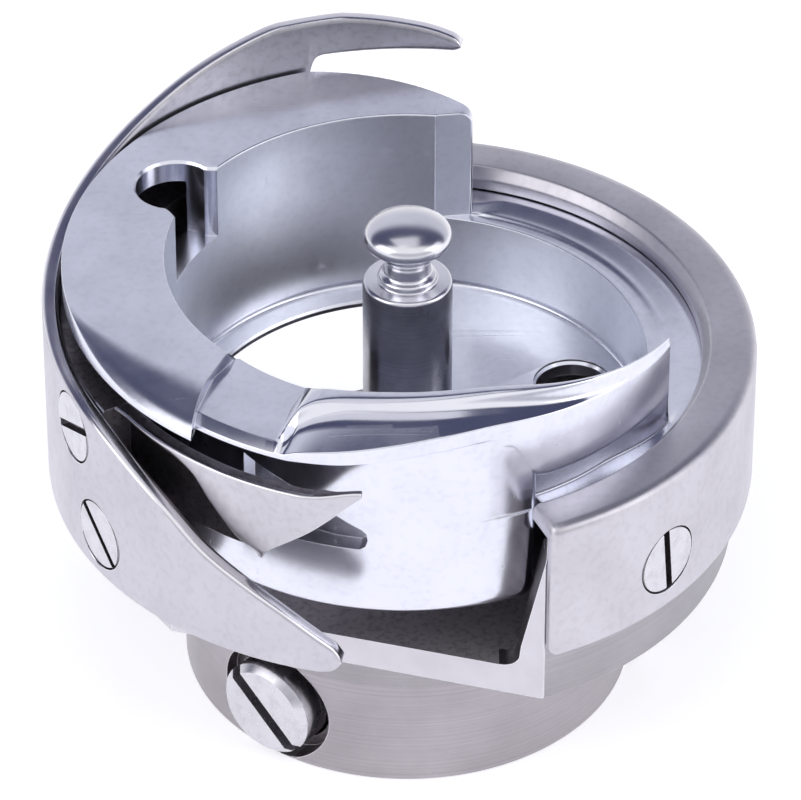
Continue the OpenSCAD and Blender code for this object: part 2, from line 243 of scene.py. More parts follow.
def place(piece, matrix):
    piece.data.transform(matrix)
    return piece


def alongRadius(angle, height, radius):
    # turns a piece made round Z so that its Z points outwards at this angle, at radius
    turn = Matrix.Rotation(math.radians(angle), 4, "Z")
    lean = Matrix.Rotation(math.radians(90), 4, "Y")
    return turn @ Matrix.Translation((radius * mm, 0, height * mm)) @ lean


def combine(piece, others, how, sharpAngle=30):
    # exact boolean of a piece with others, applied, and the others removed
    for other in others:
        step = piece.modifiers.new("cut", "BOOLEAN")
        step.operation, step.solver, step.object = how, "EXACT", other
        step.use_hole_tolerant = False
        other.hide_render = True
    bpy.context.view_layer.update()
    shaped = bpy.data.meshes.new_from_object(piece.evaluated_get(bpy.context.evaluated_depsgraph_get()))
    piece.modifiers.clear()
    old = piece.data
    name = piece.name
    for other in others:
        bpy.data.objects.remove(other)
    bpy.data.objects.remove(piece)
    bpy.data.meshes.remove(old)
    return finishMesh(name, shaped, sharpAngle)


def boxCutter(name, low, high):
    points = [(x, y, z) for x in (low[0], high[0]) for y in (low[1], high[1]) for z in (low[2], high[2])]
    faces = [(0, 1, 3, 2), (4, 6, 7, 5), (0, 4, 5, 1), (2, 3, 7, 6), (0, 2, 6, 4), (1, 5, 7, 3)]
    return meshPiece(name, points, faces)


def rod(name, radius, low, high, chamfer=0.0, segments=64):
    profile = [(radius, low, 0.0)]
    if chamfer:
        profile += [(radius, high - chamfer, 0.0), (radius + chamfer, high, 0.0),
                    (radius + chamfer, high + 1, 0.0)]
    else:
        profile.append((radius, high, 0.0))
    points, faces = [], []
    size = len(profile)
    for i in range(segments):
        points += [polar(r, 360 * i / segments, z) for r, z, _ in profile]
    for i in range(segments):
        j = (i + 1) % segments
        for k in range(size - 1):
            faces.append((i * size + k, j * size + k, j * size + k + 1, i * size + k + 1))
    faces.append(tuple(i * size for i in range(segments)))
    faces.append(tuple(i * size + size - 1 for i in range(segments)))
    return meshPiece(name, points, faces)


def arcOutline(inner, outer, start, end, rounding, step=2.0):
    # (x, y) outline of a curved slot between two radii, with rounded ends
    middle, half = (inner + outer) / 2, (outer - inner) / 2
    rounding = min(rounding, half * 0.999)
    degrees = 180 / (math.pi * middle)
    outline = []
    count = max(2, int((end - start) / step))
    for k in range(count + 1):
        angle = mix(start + rounding * degrees, end - rounding * degrees, k / count)
        outline.append((outer, angle))
    for k in range(1, 6):
        turn = math.pi / 2 * k / 6
        outline.append((outer - rounding * (1 - math.cos(turn)),
                        end - rounding * degrees * (1 - math.sin(turn))))
    for k in range(1, 6):
        turn = math.pi / 2 * k / 6
        outline.append((inner + rounding * (1 - math.sin(turn)),
                        end - rounding * degrees * (1 - math.cos(turn))))
    for k in range(count + 1):
        angle = mix(end - rounding * degrees, start + rounding * degrees, k / count)
        outline.append((inner, angle))
    for k in range(1, 6):
        turn = math.pi / 2 * k / 6
        outline.append((inner + rounding * (1 - math.cos(turn)),
                        start + rounding * degrees * (1 - math.sin(turn))))
    for k in range(1, 6):
        turn = math.pi / 2 * k / 6
        outline.append((outer - rounding * (1 - math.sin(turn)),
                        start + rounding * degrees * (1 - math.cos(turn))))
    return [polar(r, a, 0)[:2] for r, a in outline]


# material helpers
def addNode(tree, kind, settings=None, inputs=None):
    node = tree.nodes.new(kind)
    for key, value in (settings or {}).items():
        setattr(node, key, value)
    for key, value in (inputs or {}).items():
        socket = node.inputs[key]
        if isinstance(value, bpy.types.NodeSocket):
            tree.links.new(value, socket)
        else:
            socket.default_value = value
    return node


def maths(tree, operation, *values):
    return addNode(tree, "ShaderNodeMath", {"operation": operation}, dict(enumerate(values))).outputs[0]


def noise(tree, vector, scale, detail):
    inputs = {"Vector": vector, "Scale": scale, "Detail": detail}
    return addNode(tree, "ShaderNodeTexNoise", None, inputs).outputs["Fac"]


def ramp(tree, source, stops):
    node = addNode(tree, "ShaderNodeValToRGB", None, {"Fac": source})
    band = node.color_ramp
    while len(band.elements) < len(stops):
        band.elements.new(0.5)
    for element, (position, colour) in zip(band.elements, stops):
        element.position = position
        element.color = (*colour, 1) if len(colour) == 3 else colour
    return node.outputs["Color"]


def shades(tree, source, low, high, dark, light):
    # maps a noise between two grey levels to a value
    node = addNode(tree, "ShaderNodeMapRange", None, {
        "Value": source, "From Min": low, "From Max": high, "To Min": dark, "To Max": light})
    return node.outputs["Result"]


def metal(name, look):
    material = bpy.data.materials.new(name)
    material.use_nodes = True
    tree = material.node_tree
    shader = tree.nodes["Principled BSDF"]
    shader.inputs["Metallic"].default_value = look.get("metallic", 1.0)
    coord = addNode(tree, "ShaderNodeTexCoord").outputs["Object"]
    parts = addNode(tree, "ShaderNodeSeparateXYZ", None, {0: coord}).outputs
    cloud = addNode(tree, "ShaderNodeTexNoise", None, {
        "Vector": coord, "Scale": look.get("cloudScale", 160), "Detail": 5, "Roughness": 0.6}).outputs["Fac"]
    fine = noise(tree, coord, look.get("grainScale", 7000), 3)
    colour = ramp(tree, cloud, [(0.32, look["shade"]), (0.68, look["tint"])])
    rough = shades(tree, cloud, 0.3, 0.7, look["rough"] + look.get("roughVary", 0.05),
                   look["rough"] - look.get("roughVary", 0.05))
    height = shades(tree, fine, 0.0, 1.0, 0.0, look.get("grain", 0.2))
    if look.get("lines"):
        # fine turning marks: rings that depend on height, on radius, or both
        flat = addNode(tree, "ShaderNodeCombineXYZ", None, {0: parts[0], 1: parts[1]}).outputs[0]
        radius = addNode(tree, "ShaderNodeVectorMath", {"operation": "LENGTH"}, {0: flat}).outputs["Value"]
        along = {"height": parts[2], "radius": radius}.get(look["lines"])
        if along is None:
            along = maths(tree, "ADD", parts[2], radius)
        spread = addNode(tree, "ShaderNodeVectorMath", {"operation": "SCALE"}, {
            0: coord, "Scale": look.get("lineWander", 6.0)}).outputs[0]
        lifted = maths(tree, "MULTIPLY", along, look.get("lineScale", 6500))
        where = addNode(tree, "ShaderNodeCombineXYZ", None, {2: lifted}).outputs[0]
        where = addNode(tree, "ShaderNodeVectorMath", {"operation": "ADD"}, {0: where, 1: spread}).outputs[0]
        turned = noise(tree, where, 1.0, 3)
        lines = shades(tree, turned, 0.3, 0.7, 0.0, look.get("lineDepth", 0.5))
        if look.get("pitch"):
            # regular grooves, a little uneven from place to place
            waver = maths(tree, "MULTIPLY", cloud, 4.0)
            phase = maths(tree, "MULTIPLY_ADD", along, 2 * math.pi / (look["pitch"] * mm), waver)
            lines = maths(tree, "MULTIPLY_ADD", maths(tree, "SINE", phase), 0.35, lines)
        height = maths(tree, "ADD", height, lines)
        colour = addNode(tree, "ShaderNodeMix", {"data_type": "RGBA", "blend_type": "MULTIPLY"}, {
            0: look.get("lineShade", 0.35), 6: colour,
            7: ramp(tree, turned, [(0.3, (0.55, 0.55, 0.56)), (0.6, (1, 1, 1))])}).outputs[2]
    if look.get("scratch"):
        # long hair scratches in two directions
        for k, turn in enumerate((0.6, -1.1)):
            turned = addNode(tree, "ShaderNodeMapping", None, {
                "Vector": coord, "Rotation": (0.2 * k, 0.15, turn), "Scale": (60, 5200, 900)}).outputs[0]
            hair = noise(tree, turned, 1.0, 1)
            mark = shades(tree, hair, 0.72, 0.78, 0.0, look["scratch"])
            height = maths(tree, "SUBTRACT", height, mark)
            rough = maths(tree, "ADD", rough, maths(tree, "MULTIPLY", mark, 0.2))
    if look.get("specks"):
        spots = noise(tree, coord, look.get("speckScale", 2600), 2)
        colour = addNode(tree, "ShaderNodeMix", {"data_type": "RGBA", "blend_type": "MULTIPLY"}, {
            0: look["specks"], 6: colour,
            7: ramp(tree, spots, [(0.36, (0.25, 0.24, 0.25)), (0.5, (1, 1, 1))])}).outputs[2]
    normal = {}
    if look.get("edge"):
        # rounded edges: smoother where two faces meet, and brighter, part wear and part painted highlight
        soft = addNode(tree, "ShaderNodeBevel", {"samples": 4}, {"Radius": look["edge"] * mm}).outputs[0]
        sharp = addNode(tree, "ShaderNodeNewGeometry").outputs["Normal"]
        facing = addNode(tree, "ShaderNodeVectorMath", {"operation": "DOT_PRODUCT"},
                         {0: soft, 1: sharp}).outputs["Value"]
        wornAndLitEdge = shades(tree, facing, 0.999, 0.93, 0.0, 1.0)
        colour = addNode(tree, "ShaderNodeMix", {"data_type": "RGBA"}, {
            0: wornAndLitEdge, 6: colour, 7: (*look.get("edgeWearAndHighlight", (0.9, 0.89, 0.92)), 1)}).outputs[2]
        rough = addNode(tree, "ShaderNodeMix", None, {0: wornAndLitEdge, 2: rough, 3: 0.16}).outputs[0]
        normal = {"Normal": soft}
    bump = addNode(tree, "ShaderNodeBump", None, {
        "Height": height, "Strength": look.get("bump", 0.3), "Distance": look.get("bumpDepth", 0.02) * mm,
        **normal})
    tree.links.new(colour, shader.inputs["Base Color"])
    tree.links.new(rough, shader.inputs["Roughness"])
    tree.links.new(bump.outputs[0], shader.inputs["Normal"])
    return material


def dress(piece, material, body, slotName, *stands, choose=None):
    # choose(place, normal) may name another finish for a face
    piece.data.materials.clear()
    piece.data.materials.append(material)
    if choose:
        used = [material.name]
        for face in piece.data.polygons:
            wanted = choose(face.center / mm, face.normal) or material.name
            if wanted not in used:
                used.append(wanted)
                piece.data.materials.append(metals[wanted])
            face.material_index = used.index(wanted)
    if stands:
        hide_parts(*stands)
    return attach(piece, body)


# Finishes, each for one kind of surface on the hook
finishes = {
    "bandSteel": {"tint": (0.43, 0.41, 0.435), "shade": (0.355, 0.34, 0.36), "rough": 0.36, "lines": "both",
                  "pitch": 0.17, "lineScale": 6200, "lineDepth": 0.8, "lineShade": 0.3, "bump": 0.4,
                  "grain": 0.15, "edge": 0.07},
    "flatSteel": {"tint": (0.65, 0.63, 0.675), "shade": (0.60, 0.58, 0.62), "rough": 0.38, "grain": 0.5,
                  "cloudScale": 420, "bump": 0.25, "edge": 0.08},
    "bladeSteel": {"tint": (0.63, 0.61, 0.655), "shade": (0.56, 0.545, 0.585), "rough": 0.3, "grain": 0.4,
                   "cloudScale": 300, "bump": 0.2, "specks": 0.1, "edge": 0.09},
    # dark matte steel, also used as painted shade: bores, slots and recesses get this dark colour in place of
    # their shadow
    "darkSteel": {"tint": (0.22, 0.20, 0.215), "shade": (0.12, 0.11, 0.12), "rough": 0.42, "grain": 0.8,
                  "cloudScale": 600, "bump": 0.4, "specks": 0.4, "speckScale": 4200, "edge": 0.05,
                  "edgeWearAndHighlight": (0.62, 0.58, 0.62)},
    "hubSteel": {"tint": (0.47, 0.44, 0.47), "shade": (0.395, 0.37, 0.395), "rough": 0.38, "lines": "both",
                 "pitch": 0.19, "lineScale": 7000, "lineDepth": 0.9, "lineShade": 0.35, "bump": 0.45,
                 "grain": 0.15, "edge": 0.08},
    "gibSteel": {"tint": (0.63, 0.61, 0.655), "shade": (0.57, 0.55, 0.59), "rough": 0.36, "grain": 0.6,
                 "cloudScale": 260, "bump": 0.25, "specks": 0.08, "edge": 0.06},
    "guardSteel": {"tint": (0.60, 0.58, 0.63), "shade": (0.54, 0.525, 0.57), "rough": 0.33, "grain": 0.5,
                   "cloudScale": 260, "bump": 0.25, "specks": 0.08, "edge": 0.08},
    # upward-facing edge faces: painted highlight, a lighter copy of the steel for the light they catch
    "edgeSteel": {"tint": (0.88, 0.86, 0.90), "shade": (0.80, 0.78, 0.82), "rough": 0.2, "grain": 0.3,
                  "cloudScale": 400, "bump": 0.2},
    # inward-facing faces: painted shade, a darker copy of the steel
    "innerSteel": {"tint": (0.50, 0.49, 0.53), "shade": (0.40, 0.39, 0.42), "rough": 0.34, "grain": 0.6,
                   "cloudScale": 260, "bump": 0.3, "specks": 0.15},
    # the body's floor seen through the holder's opening: painted light, a near-white colour for the light it
    # catches
    "floorSteel": {"tint": (0.80, 0.75, 0.78), "shade": (0.62, 0.58, 0.61), "rough": 0.5, "grain": 0.8,
                   "cloudScale": 500, "bump": 0.35, "specks": 0.3, "speckScale": 3600},
    "screwSteel": {"tint": (0.70, 0.69, 0.73), "shade": (0.65, 0.64, 0.68), "rough": 0.27, "grain": 0.4,
                   "cloudScale": 800, "bump": 0.2, "specks": 0.12, "speckScale": 1500, "edge": 0.05},
    "basketChrome": {"tint": (0.80, 0.81, 0.89), "shade": (0.75, 0.76, 0.84), "rough": 0.22, "grain": 0.3,
                     "cloudScale": 300, "bump": 0.16, "scratch": 0.35, "specks": 0.06, "edge": 0.05,
                     "edgeWearAndHighlight": (0.93, 0.94, 0.98)},
    "cupChrome": {"tint": (0.88, 0.90, 0.96), "shade": (0.80, 0.82, 0.88), "rough": 0.4, "grain": 0.3,
                  "cloudScale": 260, "bump": 0.2, "scratch": 0.6, "specks": 0.05},
    "polishChrome": {"tint": (0.82, 0.83, 0.90), "shade": (0.78, 0.79, 0.86), "rough": 0.14, "grain": 0.15,
                     "cloudScale": 300, "bump": 0.1, "roughVary": 0.03, "scratch": 0.2},
    "studSteel": {"tint": (0.84, 0.84, 0.88), "shade": (0.74, 0.74, 0.79), "rough": 0.2, "grain": 0.1,
                  "cloudScale": 300, "bump": 0.1, "roughVary": 0.03},
    # the stud's post down in the cup: painted shade, a darker copy of the stud's steel
    "postSteel": {"tint": (0.42, 0.42, 0.46), "shade": (0.28, 0.28, 0.31), "rough": 0.24, "grain": 0.2,
                  "cloudScale": 500, "bump": 0.15, "lines": "height", "lineScale": 8000, "lineDepth": 0.5},
    "wickFelt": {"tint": (0.70, 0.66, 0.56), "shade": (0.52, 0.48, 0.40), "rough": 0.9, "metallic": 0.0,
                 "grain": 1.0, "grainScale": 9000, "cloudScale": 1500, "bump": 0.8, "bumpDepth": 0.05},
}
metals = {name: metal(name, look) for name, look in finishes.items()}
print("finishes ready", len(metals))


# hub
hubShape = {"sleeve": 6.3, "chamfer": 0.18, "collar": 0.15, "bore": 3.97, "spigot": 8.0, "mouth": 3.25,
            "screwHole": 2.75, "pointHole": 1.55}


def screwAim(node):
    # where a radial screw points: its angle and height, from its own box
    low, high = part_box(node)
    centre = (low + high) / 2 / mm
    return math.degrees(math.atan2(centre.y, centre.x)), centre.z


def makeHub():
    s = hubShape
    hub = lathe("hubTurned", [
        (s["bore"], 0, 0.15), (hubR - s["chamfer"], 0, 0.05), (hubR, s["chamfer"], 0.1),
        (hubR, s["sleeve"], 0.06), (s["spigot"], s["sleeve"], 0.02), (s["spigot"], bodyFloor, 0.05),
        (s["bore"], bodyFloor, 0.1)], 240)
    cutters = []
    for node in setScrews:
        angle, height = screwAim(node)
        bore = rod("bore", s["screwHole"], -5.95, 1)
        mouth = rod("mouth", s["mouth"], -1.3, 0.0, 0.15)
        point = rod("point", s["pointHole"], -9.2, -5.8)
        cutters += [place(c, alongRadius(angle, height, hubR)) for c in (bore, mouth, point)]
    hub = combine(hub, cutters, "DIFFERENCE")

    def choose(at, normal):
        # the set screw bores get painted shade: the dark matte finish stands in for their shadow
        reach = math.hypot(at.x, at.y)
        return "darkSteel" if 4.3 < reach < hubR - 0.1 and 0.3 < at.z < s["sleeve"] - 0.1 else "hubSteel"

    return dress(hub, metals["hubSteel"], "hook", "hook_steel", "hub", choose=choose)


makeHub()
print("hub done")


# screws
def slottedHead(name, radius, thick, slot, deep, turn, edge):
    head = turnedPiece(name, [(radius, -thick, 0.02), (radius, -edge, 0.02), (radius - edge, 0.0, 0.03)], 64)
    groove = boxCutter("groove", (-radius - 1, -slot / 2, -deep), (radius + 1, slot / 2, 1))
    place(groove, Matrix.Rotation(math.radians(turn), 4, "Z"))
    return combine(head, [groove], "DIFFERENCE")


def slotDark(node, faceR, radius):
    # for a screw's faces down in the slot, which get painted shade from the dark matte finish
    angle, height = screwAim(node)
    way = Vector((math.cos(math.radians(angle)), math.sin(math.radians(angle)), 0))

    def choose(at, normal):
        depth = faceR - at.dot(way)
        off = (at - way * at.dot(way) - Vector((0, 0, height))).length
        inSlot = 0.03 < depth and (off < radius - 0.4 or abs(normal.dot(way)) > 0.5 or off < radius - 0.02)
        return "darkSteel" if inSlot else "screwSteel"

    return choose


flushShape = {"radius": 1.8, "head": 0.75, "slot": 0.42, "deep": 0.45, "edge": 0.06, "sink": 0.04,
              "shank": 1.0}


def flushScrew(node, faceR, tipR, turn):
    s = flushShape
    angle, height = screwAim(node)
    screw = slottedHead(node + "_head", s["radius"], s["head"], s["slot"], s["deep"], turn, s["edge"])
    shank = rod("shank", s["shank"], tipR - faceR + s["sink"], -s["head"] + 0.1)
    screw = combine(screw, [shank], "UNION")
    place(screw, alongRadius(angle, height, faceR - s["sink"]))
    return dress(screw, metals["screwSteel"], "hook", "screw_steel", node,
                 choose=slotDark(node, faceR - s["sink"], s["radius"]))


for node, turn in zip(gibScrews, (5.5, -25, 40)):
    flushScrew(node, gibR, 14.8, turn)
for node, turn in zip(guardScrews, (114.7, 49, 20)):
    flushScrew(node, guardR, 15.1, turn)

setShape = {"radius": 2.6, "long": 5.8, "slot": 0.72, "deep": 1.3, "edge": 0.34, "point": 1.5,
            "pointLong": 1.7, "turn": 47}
for index, node in enumerate(setScrews):
    s = setShape
    angle, height = screwAim(node)
    reach = hubR + 0.8
    screw = slottedHead("setScrew{}".format(index + 1), s["radius"], s["long"], s["slot"], s["deep"],
                        s["turn"], s["edge"])
    tip = rod("tip", s["point"], -s["long"] - s["pointLong"], -s["long"] + 0.3)
    screw = combine(screw, [tip], "UNION")
    place(screw, alongRadius(angle, height, reach))
    dress(screw, metals["screwSteel"], "set_screw_" + "abc"[index], "screw_steel", node,
          choose=slotDark(node, reach - s["edge"] + 0.02, s["radius"]))
print("screws done")


# centre stud
studShape = {"radius": 2.25, "seat": 1.65, "shoulder": 23.1, "neck": 1.15, "head": 2.2, "rim": 25.42,
             "dome": 0.84}


def makeStud():
    s = studShape
    foot = lowOf("center_stud")
    floor = cupLow + 0.9
    dome = [(s["head"] * math.cos(math.radians(a)),
             s["rim"] + 0.42 + s["dome"] * math.sin(math.radians(a)), 0.0)
            for a in range(12, 90, 8)]
    stud = turnedPiece("centreStud", [
        (s["seat"], foot, 0.05), (s["seat"], floor, 0.02), (s["radius"], floor, 0.03),
        (s["radius"], s["shoulder"] - 0.12, 0.1), (s["radius"] - 0.12, s["shoulder"], 0.08),
        (s["neck"] + 0.35, s["shoulder"] + 0.04, 0.1), (s["neck"] + 0.3, s["shoulder"] + 0.35, 0.1),
        (s["neck"], s["shoulder"] + 0.5, 0.15), (s["neck"], s["shoulder"] + 1.25, 0.2),
        (s["neck"] + 0.2, s["shoulder"] + 1.5, 0.15), (s["neck"] + 0.25, s["rim"] - 0.42, 0.1),
        (s["head"] - 0.15, s["rim"] - 0.05, 0.1), (s["head"] + 0.02, s["rim"] + 0.1, 0.08),
        (s["head"] + 0.02, s["rim"] + 0.34, 0.08)] + dome, 128)
    # the post below the shoulder gets painted shade, a darker colour than the head
    return dress(stud, metals["studSteel"], "holder", "stud_steel", "center_stud", choose=lambda at, normal:
                 "postSteel" if at.z < s["shoulder"] - 0.15 else "studSteel")


makeStud()
print("stud done")


# retaining gib
gibShape = {"start": -66.5, "end": 93.0, "edge": 0.6, "lip": 14.8, "flat": 15.22, "bevel": 0.55,
            "under": 18.5, "screwHole": 1.87}


def gibCorners(angle):
    s = gibShape
    return [(bodyR + 0.02, gibLow, 0.03), (gibR, gibLow, 0.3), (gibR, gibTop, s["edge"]),
            (s["flat"], gibTop, 0.1),
            (s["lip"], gibTop - s["bevel"], 0.1), (s["lip"], s["under"] + 0.02, 0.05),
            (bodyR + 0.02, s["under"] + 0.02, 0.03)]


def makeGib():
    s = gibShape
    gib = roundedSweep("retainingGib", gibCorners, s["start"], s["end"], 1.5, (0.4, 0.15), gibR)
    holes = []
    for node in gibScrews:
        angle, height = screwAim(node)
        holes.append(place(rod("hole", s["screwHole"], -0.8, 0.0, 0.03), alongRadius(angle, height, gibR)))
        holes.append(place(rod("shankHole", 1.05, -3, -0.7), alongRadius(angle, height, gibR)))
    gib = combine(gib, holes, "DIFFERENCE")
    return dress(gib, metals["gibSteel"], "hook", "gib_steel", "gib")


makeGib()
print("gib done")


# thread guard
guardShape = {
    "thick": 0.85, "edge": 0.3, "start": 80.8, "end": 259.8, "nose": 1.7,
    "high": [(79, 4.05), (82, 4.35), (84.5, 4.65), (88, 4.95), (98, 5.55), (105, 5.8), (112, 5.7),
             (120, 5.15), (128, 4.5), (138, 3.6), (150, 2.7), (164, 1.9), (176, 1.3), (188, 0.75),
             (198, 0.4), (206, 0.2), (213, -0.15), (220, -0.85), (229, -2.2), (236, -3.7), (244, -5.0),
             (250, -6.0), (256, -7.25), (260, -8.1)],
    "low": [(104.5, 3.52), (105.8, 3.35), (106.6, 2.8), (107.2, 1.6), (107.9, -4.0), (108.4, -9.4)]}


def guardCorners(angle):
    s = guardShape
    top = min(bodyTop + smoothCurve(s["high"], angle), guardHigh - 0.01)
    if angle < 104.5:
        low = bodyTop + 3.52
    elif angle < 108.4:
        low = bodyTop + smoothCurve(s["low"], angle)
    else:
        low = gibLow + 0.4 + 0.5 * ease(256, 262, angle)
    low = min(low, top - 0.5)
    inner = guardR - s["thick"]
    return [(inner, low, s["edge"]), (guardR, low, s["edge"]), (guardR, top, s["edge"]),
            (inner, top, s["edge"])]


def guardStations():
    # rounded at both tips: the sheet's height closes in a half circle
    s = guardShape
    stations = []
    angles = [s["start"] + s["nose"] * (1 - math.cos(math.radians(t))) for t in range(0, 91, 9)]
    angles += [s["start"] + s["nose"] + k for k in range(1, 22)]
    angles += [104.2 + 0.35 * k for k in range(13)]
    angles += [109 + 1.5 * k for k in range(100)]
    angles += [s["end"] - s["nose"] * (1 - math.cos(math.radians(t))) for t in range(90, -1, -9)]
    for angle in sorted(set(round(a, 3) for a in angles)):
        corners = guardCorners(angle)
        low, top = corners[0][1], corners[2][1]
        middle, half = (low + top) / 2, (top - low) / 2
        near = (angle - s["start"]) / s["nose"]
        if near < 1:
            half *= max(0.12, math.sqrt(max(0.0, 1 - (1 - near) ** 2)))
        far = (s["end"] - angle) / s["nose"]
        if far < 1:
            half *= max(0.12, math.sqrt(max(0.0, 1 - (1 - far) ** 2)))
        corners = [(r, middle + half * (1 if k in (2, 3) else -1), e) for k, (r, z, e) in enumerate(corners)]
        stations.append((angle, roundLoop(corners, 5)))
    return stations


def makeGuard():
    guard = sweep("threadGuard", guardStations())
    holes = []
    for node in guardScrews:
        angle, height = screwAim(node)
        holes.append(place(rod("hole", gibShape["screwHole"], -0.8, 0.0, 0.03),
                           alongRadius(angle, height, guardR)))
        holes.append(place(rod("shankHole", 1.05, -3, -0.7), alongRadius(angle, height, guardR)))
    guard = combine(guard, holes, "DIFFERENCE")

    def choose(at, normal):
        # painted light: faces turned inwards get a darker copy of the steel, faces turned upwards a lighter
        # one
        inward = -(normal.x * at.x + normal.y * at.y) / math.hypot(at.x, at.y)
        if inward > 0.6:
            return "innerSteel"
        return "edgeSteel" if normal.z > 0.45 else "guardSteel"

    return dress(guard, metals["guardSteel"], "hook", "guard_steel", "thread_guard", choose=choose)


makeGuard()
print("guard done")


# hook body
bodyShape = {
    "hub": 8.5, "collar": 11.65, "cavity": 14.5, "raceLow": 16.8, "raceTop": 18.5, "race": 15.45, "lip": 14.8,
    "flatAngle": -106.0, "flat": 12.75, "window": 17.2, "seatLow": 11.7, "wallStart": 95.0,
    "root": 210.0, "seatEnd": 222.0, "relief": 211.3, "heel": -115.0, "web": 7.1, "sideFlat": (-146.0, 15.3),
    "heelCut": {"start": 244.9, "turn": 20.1, "inner": 15.3, "outer": 18.5, "low": 16.0, "high": 19.0},
    "scoop": [(-152, 21.5), (-140, 21.4), (-134, 21.3), (-131, 21.05), (-128.5, 20.65), (-125.4, 19.6),
              (-122, 18.6), (-119.4, 17.95), (-116.5, 17.65), (-115, 17.6)]}


def bodyCorners(angle):
    # one closed outline: floor, race, lip, wall top, outside and underside
    s = bodyShape
    turned = angle % 360
    left = s["wallStart"] < turned < s["root"] + 2
    top = bodyTop if left else s["raceTop"] - 0.02
    lip = s["lip"]
    out = seatR if s["wallStart"] < turned < s["seatEnd"] else bodyR - 0.02
    return [(8.05, bodyFloor, 0.05), (s["cavity"], bodyFloor, 0.4), (s["cavity"], s["raceLow"], 0.1),
            (s["race"], s["raceLow"], 0.05), (s["race"], s["raceTop"] - 0.03, 0.02),
            (lip, s["raceTop"] - 0.025, 0.02) if left else (s["race"] + 0.02, s["raceTop"] - 0.025, 0.01),
            (lip, top, 0.1) if left else (s["race"] + 0.03, top, 0.02),
            (out if left else bodyR - 0.02, top, 0.12), (out, s["window"], 0.02), (out, s["seatLow"], 0.1),
            (bodyR, s["seatLow"] - 0.05, 0.02), (bodyR, s["hub"], 0.12), (s["collar"], s["hub"], 0.1),
            (s["collar"], hubShape["sleeve"], 0.06), (8.05, hubShape["sleeve"], 0.03)]


def smoothLine(table, at):
    if at <= table[0][0]:
        return table[0][1]
    for (a, va), (b, vb) in zip(table, table[1:]):
        if at <= b:
            return va + (vb - va) * (at - a) / (b - a)
    return table[-1][1]


def makeBody():
    s = bodyShape
    angles = sorted(set([k * 1.5 for k in range(240)]
                        + [s["wallStart"] - 0.05, s["wallStart"] + 0.05, s["root"] + 1.95, s["root"] + 2.05,
                           s["seatEnd"] - 0.05, s["seatEnd"] + 0.05]))
    body = sweep("hookBody", [(a, roundLoop(bodyCorners(a), 3)) for a in angles], True)

    # behind the blade the wall is turned down to a thin shell, and the window opens below it
    relief = sweep("relief", [(s["relief"] + k * (261 - s["relief"]) / 32, [
        (15.92, s["window"] - 0.02), (18.5, s["window"] - 0.02), (18.5, bodyTop + 1), (15.92, bodyTop + 1)])
        for k in range(33)])
    cut = s["heelCut"]
    ring = [(cut["inner"], cut["low"]), (cut["outer"], cut["low"]),
            (cut["outer"], cut["high"]), (cut["inner"], cut["high"])]
    race = sweep("race", [(cut["start"] + k * cut["turn"] / 20, ring) for k in range(21)])
    body = combine(body, [relief, frontWindow(), race], "DIFFERENCE")

    def bladeCorners(angle):
        top = bodyTop - 0.005
        tip = ease(-108, -97.8, angle)
        out = mix(mix(16.85, bodyR, ease(-152, -145, angle)), 15.8, tip)
        inner = mix(15.52, out - 0.4, tip)
        behind = angle < s["heel"]
        low = s["window"] if behind else smoothLine([(s["heel"], 17.6), (-98, bodyTop - 0.22)], angle)
        face = smoothCurve(s["scoop"], angle) if behind else low + 0.02
        pocket = mix(15.92, out, ease(-118.5, s["heel"], angle))
        foot = max(low + 0.01, face - 0.85) if behind else low + 0.01
        return [(inner, low, 0.02), (pocket, low, 0.03), (pocket, foot, 0.3 if behind else 0.02),
                (out, face, 0.12), (out, top - 0.08, 0.06), (out - 0.1, top, 0.04), (out - 0.28, top, 0.03),
                (max(inner + 0.03, out - 0.75), top - 0.02, 0.1),
                (inner, max(top - 0.5, low + 0.1), 0.1 if behind else 0.04)]

    blade = roundedSweep("blade", bladeCorners, -151.5, -98.1, 0.7, (0.02, 0.06), 16.5)
    body = combine(body, [blade], "UNION")

    return body


def pushed(name, outline, near, far):
    # an outline in (x, z) pushed along Y
    size = len(outline)
    points = [(x, y, z) for y in (near, far) for x, z in outline]
    faces = [tuple(range(size)), tuple(range(size, 2 * size))]
    faces += [(k, (k + 1) % size, size + (k + 1) % size, size + k) for k in range(size)]
    return meshPiece(name, points, faces)


def frontWindow():
    # open in front from the heel of the blade to a slanted web on the right
    s = bodyShape
    heel = bodyR * math.cos(math.radians(s["heel"]))
    outline = [(-12.5, bodyFloor), (-12.5, s["window"]), (heel, s["window"]), (heel, bodyTop + 2),
               (6.9, bodyTop + 2), (6.72, s["window"]), (5.55, bodyFloor + 1.35)]
    for k in range(1, 7):
        turn = math.radians(12 + 78 * k / 7)
        outline.append((4.55 + 1.0 * math.cos(turn), bodyFloor + 1.0 - 1.0 * math.sin(turn)))
    outline.append((4.5, bodyFloor))
    return pushed("frontWindow", outline, -4.8, -25)


